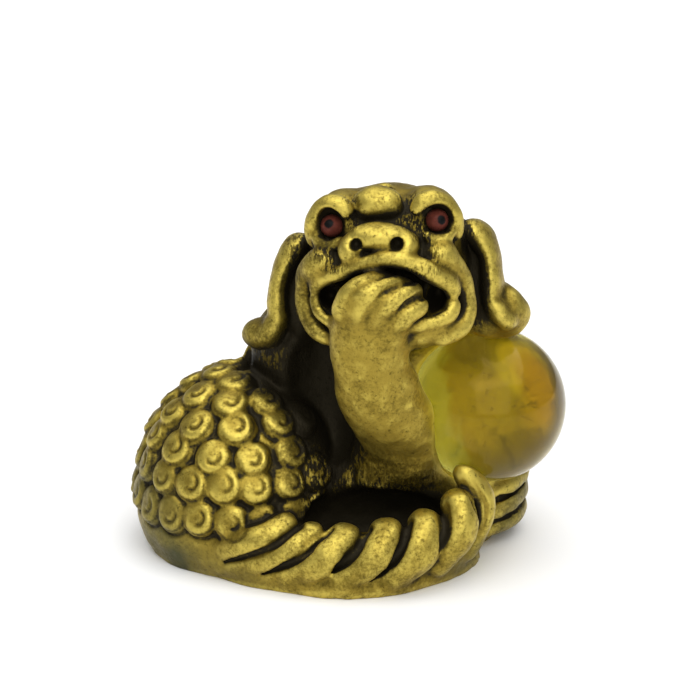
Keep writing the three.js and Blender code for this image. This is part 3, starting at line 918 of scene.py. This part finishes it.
def aged_brass(bright, deep, patina, grey_green):
    """Yellow brass rubbed bright on its high points, with a dark patina left in its recesses, painted shade in
    its deep hollows and painted light round the ball's seat.
    """
    nodes = Nodes("aged_brass")
    place = nodes.place()
    crevice, hair = nodes.attribute("crevice"), nodes.attribute("hair")
    cloud = nodes.noise(210, 5, 0.6, place)
    blotch = nodes.noise(800, 5, 0.65, place)
    speck = nodes.noise(1500, 6, 0.75, place)
    grain = nodes.noise(3200, 4, 0.65, place)
    stroke = nodes.noise(1, 3, 0.6, nodes.stretched(place, (3600, 1500, 1300)))

    # Patina, dirt and painted shade summed; where it is high the brass turns to the dark patina colour, and a
    # minus zone paints light
    dirt_and_shade = nodes.total(
        nodes.span(crevice, 0.50, 0.64, 0, 0.9),
        # Shelter masks: patina that rubbing misses, and painted shade in the deep hollows
        nodes.span(nodes.attribute("hollow"), 0.12, 0.60, 0, 0.8),
        nodes.span(nodes.attribute("pocket"), 0.35, 0.85, 0, 0.8),
        # Painted shade and painted light from the zone tables
        nodes.attribute("painted_shade_and_light"),
        nodes.math("MULTIPLY", nodes.attribute("line"), 0.85),
        nodes.about(cloud, 0.7),
        nodes.about(blotch, 0.9),
        nodes.about(grain, 0.8),
        nodes.math("MULTIPLY", hair, nodes.span(stroke, 0.44, 0.56, 0.7, -0.55)),
    )
    dull = nodes.span(dirt_and_shade, -0.15, 0.55)
    black = nodes.span(dirt_and_shade, 0.35, 1.05)

    wear = nodes.span(nodes.total(crevice, nodes.about(blotch, 0.1)), 0.49, 0.40)
    metal = nodes.mix(wear, (*deep, 1), (*bright, 1))
    metal = nodes.mix(nodes.math("MULTIPLY", dull, 0.85), metal, darker(deep, 0.42))
    metal = nodes.mix(nodes.span(speck, 0.56, 0.66, 0, 0.75), metal, darker(deep, 0.30))
    # Darker grey-green low at the sides of the haunch and by the paw
    grey = nodes.math("MULTIPLY", nodes.attribute("grey_green"), nodes.span(cloud, 0.3, 0.7, 0.6, 1))
    metal = nodes.mix(grey, metal, (*grey_green, 1))
    nodes.shade("Base Color", nodes.mix(black, metal, (*patina, 1)))
    nodes.shade("Metallic", nodes.span(black, 0.2, 1, 1, 0.55))
    nodes.shade("Roughness", nodes.total(nodes.span(dull, 0, 1, 0.46, 0.55), nodes.about(grain, 0.3)))
    nodes.shade("Specular IOR Level", 0.12)

    pits = nodes.span(grain, 0.60, 0.70)
    height = nodes.math("SUBTRACT", nodes.total(blotch, nodes.math("MULTIPLY", grain, 0.5)), pits)
    strokes = nodes.math("MULTIPLY", nodes.math("MULTIPLY", hair, stroke), 6)
    bump = {"Strength": 0.5, "Distance": 0.09 * MM, "Height": nodes.total(height, strokes)}
    nodes.shade("Normal", nodes.add("ShaderNodeBump", bump).outputs["Normal"])
    return nodes.material


def amber_glass(tint):
    """Clear glass with faint upright streaks; its colour paints the refraction of the lit forearm as lime on
    that side, and amber on the other.
    """
    nodes = Nodes("amber_glass")
    place = nodes.place()
    streak = nodes.noise(1, 3, 0.5, nodes.stretched(place, (900, 900, 50)))
    split = nodes.add("ShaderNodeSeparateXYZ", {"Vector": place}).outputs
    # Painted refraction: the lime side stands in for the lit forearm seen through the glass, amber beyond
    across = nodes.total(
        split["X"],
        nodes.about(streak, 4 * MM),
        nodes.about(split["Z"], 0.4, 16.2 * MM),
        nodes.about(split["Y"], -0.3, -1 * MM),
    )
    amber = nodes.span(across, 11.3 * MM, 13.9 * MM)
    nodes.shade("Base Color", nodes.mix(amber, (0.88, 1, 0.30, 1), (*tint, 1)))
    nodes.shade("Roughness", 0.055)
    nodes.shade("IOR", 1.49)
    nodes.shade("Specular IOR Level", 0.25)
    nodes.shade("Specular Tint", (0.60, 0.42, 0.12, 1))
    nodes.shade("Transmission Weight", 0.95)
    return nodes.material


def eye_bead(pupil_spot, colour, pupil):
    """A reddish-brown bead with a dark pupil where it looks."""
    nodes = Nodes("eye_bead")
    place = nodes.place()
    distance = nodes.add("ShaderNodeVectorMath", {0: place, 1: pupil_spot}, operation="DISTANCE")
    noise = nodes.noise(1500, 3, 0.6, place)
    edge = nodes.total(distance.outputs["Value"], nodes.about(noise, 0.4 * MM))
    cloud = nodes.mix(nodes.span(noise, 0.35, 0.65), (*colour, 1), darker(colour, 0.7))
    nodes.shade("Base Color", nodes.mix(nodes.span(edge, 0.36 * MM, 0.56 * MM), (*pupil, 1), cloud))
    nodes.shade("Roughness", 0.3)
    nodes.shade("Specular IOR Level", 0.06)
    return nodes.material


def pale_floor():
    nodes = Nodes("pale_floor")
    soft = nodes.noise(4, 2, 0.5, nodes.place())
    nodes.shade("Base Color", nodes.mix(soft, (0.9, 0.9, 0.9, 1), (0.94, 0.94, 0.94, 1)))
    nodes.shade("Roughness", 0.8)
    return nodes.material


def wear_material(thing, material):
    thing.data.materials.clear()
    thing.data.materials.append(material)


def smooth_ball(name, centre, radius, rings=64):
    """A true sphere of four-sided faces, from a cube whose faces are divided and blown round."""
    lines = np.tan(np.linspace(-np.pi / 4, np.pi / 4, rings + 1))
    places, quads = [], []
    u, v = np.meshgrid(lines, lines, indexing="ij")
    one = np.ones_like(u)
    for axis in range(3):
        for sign in (-1, 1):
            face = [None] * 3
            face[axis], face[(axis + 1) % 3], face[(axis + 2) % 3] = one * sign, u * sign, v
            start = sum(len(p) for p in places)
            places.append(np.stack(face, axis=-1).reshape(-1, 3))
            i, j = np.indices((rings, rings))
            corner = (start + i * (rings + 1) + j).ravel()
            quads.append(np.stack([corner, corner + rings + 1, corner + rings + 2, corner + 1], axis=1))
    places, quads = np.concatenate(places), np.concatenate(quads)
    _, first, shared = np.unique(np.round(places, 6), axis=0, return_index=True, return_inverse=True)
    places, quads = places[first], shared.reshape(-1)[quads]
    places /= np.linalg.norm(places, axis=1)[:, None]
    return quad_object(name, np.asarray(centre) + radius * places, quads)


def sphere_of(node):
    """The centre and radius of a ball-shaped part, in metres."""
    low, high = (np.asarray(c, float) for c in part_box(node))
    return (low + high) / 2, float((high - low).max() / 2)


# Settings that a user can change


def number_setting(name, description, value, unit="LENGTH"):
    return bpy.props.FloatProperty(name=name, description=description, default=value, unit=unit)


def colour_setting(name, description, colour):
    return bpy.props.FloatVectorProperty(
        name=name, description=description, default=colour, subtype="COLOR", size=3
    )


class PixiuFigureSettings(bpy.types.PropertyGroup):
    scale_radius: number_setting("Scale radius", "Half the width of one carved scale", 2.08 * MM)
    scale_rise: number_setting("Scale rise", "How far a scale stands out of the body", 0.9 * MM)
    bright: colour_setting("Rubbed brass", "Colour of the high points", (0.56, 0.44, 0.085))
    deep: colour_setting("Dull brass", "Colour of the brass that is rubbed less", (0.31, 0.225, 0.036))
    patina: colour_setting("Patina", "Colour of the dirt left in the recesses", (0.020, 0.016, 0.008))
    grey_green: colour_setting("Low_grey_green", "Grey-green colour low on the haunch", (0.085, 0.082, 0.034))


class PixiuBallSettings(bpy.types.PropertyGroup):
    tint: colour_setting("Glass tint", "Amber that the glass gives to light", (0.67, 0.51, 0.11))


class PixiuEyeSettings(bpy.types.PropertyGroup):
    colour: colour_setting("Bead", "Colour of the eye beads", (0.12, 0.030, 0.020))
    pupil: colour_setting("Pupil", "Colour of the pupils", (0.006, 0.006, 0.006))


class PixiuStageSettings(bpy.types.PropertyGroup):
    elevation: number_setting("Camera height", "How steeply it looks down", np.radians(20), "ROTATION")
    distance: number_setting("Camera distance", "How far away it stands", CAMERA_DISTANCE * MM)


# Operators


class PIXIU_OT_figure(bpy.types.Operator):
    """Sculpts the brass figure with its scales, face, foreleg, tail and paw"""

    bl_idname = "pixiu.figure"
    bl_label = "Sculpt Figure"

    def execute(self, context):
        settings = context.scene.pixiu_figure
        centre, radius = sphere_of("ball")
        cell = CELL
        sizes = (settings.scale_radius, settings.scale_rise, centre, radius)
        clay, lines = model_clay(*(size / MM for size in sizes), cell)
        places, quads = skin(clay)
        figure = quad_object("brass_figure", settle(clay, places), quads)
        triangles = len(quads) * 2
        if triangles > MOST_TRIANGLES:
            thin_out(figure, MOST_TRIANGLES / triangles)
        places = read_vectors(figure.data.vertices, "co").astype(float)
        normals = read_vectors(figure.data.vertex_normals, "vector")
        in_head = (places - HEAD_CENTRE) @ HEAD_TURN
        for name, values in (
            ("crevice", closeness(clay, places, 0.42)),
            # Shelter within 3 and 11 mm: patina that rubbing misses, and painted shade in the deep hollows
            ("hollow", shelter(clay, places, normals, 3)),
            ("pocket", shelter(clay, places, normals, 11)),
            ("line", clay.sample(lines, places)),
            # Painted shade and painted light from the zone tables
            ("painted_shade_and_light", zoned(places, PAINTED_SHADE_AND_LIGHT) + zoned(in_head, HEAD_PAINTED_SHADE)),
            # Darker grey-green low at the sides of the haunch and by the paw
            ("grey_green", zoned(places, LOW_GREY_GREEN)),
            ("hair", zoned(in_head, HAIR) + zoned(places, BODY_HAIR)),
        ):
            store(figure.data, name, values)
        figure.data.transform(Matrix.Scale(MM, 4))
        wear_material(figure, aged_brass(settings.bright, settings.deep, settings.patina, settings.grey_green))
        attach(figure, "root")
        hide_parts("figure")
        return {"FINISHED"}


class PIXIU_OT_ball(bpy.types.Operator):
    """Blows the amber glass ball that the creature guards"""

    bl_idname = "pixiu.ball"
    bl_label = "Make Ball"

    def execute(self, context):
        centre, radius = sphere_of("ball")
        ball = smooth_ball("glass_ball", centre, radius)
        wear_material(ball, amber_glass(context.scene.pixiu_ball.tint))
        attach(ball, "root")
        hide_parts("ball")
        return {"FINISHED"}


class PIXIU_OT_eyes(bpy.types.Operator):
    """Sets the two bead eyes in their sockets"""

    bl_idname = "pixiu.eyes"
    bl_label = "Set Eyes"

    def execute(self, context):
        settings = context.scene.pixiu_eyes
        for name, look in (("eye_left", (-0.16, -1, 0.28)), ("eye_right", (0.58, -1, 0.14))):
            centre, radius = sphere_of(name)
            look = HEAD_TURN @ unit(look)
            bead = smooth_ball(f"bead_{name}", centre, radius, 24)
            wear_material(bead, eye_bead(centre + radius * look, settings.colour, settings.pupil))
            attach(bead, "root")
            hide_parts(name)
        return {"FINISHED"}


class PIXIU_OT_stage(bpy.types.Operator):
    """Lays the pale floor and sets the soft lights and the camera"""

    bl_idname = "pixiu.stage"
    bl_label = "Set Stage"

    def execute(self, context):
        settings = context.scene.pixiu_stage
        side = 3.0
        corners = [(-side, -side, 0), (side, -side, 0), (side, side, 0), (-side, side, 0)]
        floor = quad_object("floor", corners, [(0, 1, 2, 3)])
        wear_material(floor, pale_floor())

        target = Vector((0, 0, PICTURE_MIDDLE * MM))
        aim = Euler((np.pi / 2 - settings.elevation, 0, 0)).to_matrix()
        camera = bpy.data.objects.new("camera", bpy.data.cameras.new("camera"))
        camera.data.sensor_width = SENSOR_WIDTH
        camera.data.lens = SENSOR_WIDTH * PIXELS_PER_MM * CAMERA_DISTANCE / PICTURE_WIDTH
        camera.data.clip_start = 0.01
        stand = target + aim @ Vector((0, 0, settings.distance))
        camera.matrix_world = Matrix.Translation(stand) @ aim.to_4x4()
        context.scene.collection.objects.link(camera)
        context.scene.camera = camera

        for name, place, size, power in (
            ("ceiling_light", (0.02, -0.05, 0.75), 1.3, 10),
            ("front_light", (0.10, -0.80, 0.50), 0.9, 4.5),
        ):
            data = bpy.data.lights.new(name, "AREA")
            data.size, data.energy = size, power
            light = bpy.data.objects.new(name, data)
            light.location = place
            light.rotation_euler = (Vector((0, 0, 0.02)) - light.location).to_track_quat("-Z", "Y").to_euler()
            context.scene.collection.objects.link(light)

        world = bpy.data.worlds.new("soft_surround")
        world.use_nodes = True
        glow = world.node_tree.nodes["Background"].inputs
        glow["Color"].default_value, glow["Strength"].default_value = (1, 1, 1, 1), 0.30
        context.scene.world = world
        context.scene.view_settings.view_transform = "Standard"
        return {"FINISHED"}


class PIXIU_PT_panel(bpy.types.Panel):
    """Lists the figurine's sizes, colours and steps"""

    bl_idname = "PIXIU_PT_panel"
    bl_label = "Pixiu Figurine"
    bl_space_type = "VIEW_3D"
    bl_region_type = "UI"
    bl_category = "Pixiu"

    def draw(self, context):
        for step in GROUPS:
            box = self.layout.box()
            group = getattr(context.scene, f"pixiu_{step}")
            for name in group.__annotations__:
                box.prop(group, name)
            box.operator(f"pixiu.{step}")


GROUPS = {
    "stage": PixiuStageSettings,
    "figure": PixiuFigureSettings,
    "ball": PixiuBallSettings,
    "eyes": PixiuEyeSettings,
}
CLASSES = (
    *GROUPS.values(),
    PIXIU_OT_figure,
    PIXIU_OT_ball,
    PIXIU_OT_eyes,
    PIXIU_OT_stage,
    PIXIU_PT_panel,
)


def register():
    for item in CLASSES:
        bpy.utils.register_class(item)
    for step, group in GROUPS.items():
        setattr(bpy.types.Scene, f"pixiu_{step}", bpy.props.PointerProperty(type=group))


def unregister():
    for step in GROUPS:
        delattr(bpy.types.Scene, f"pixiu_{step}")
    for item in reversed(CLASSES):
        bpy.utils.unregister_class(item)


def main():
    register()
    bpy.ops.pixiu.stage()
    bpy.ops.pixiu.figure()
    bpy.ops.pixiu.ball()
    bpy.ops.pixiu.eyes()


if __name__ == "__main__":
    main()
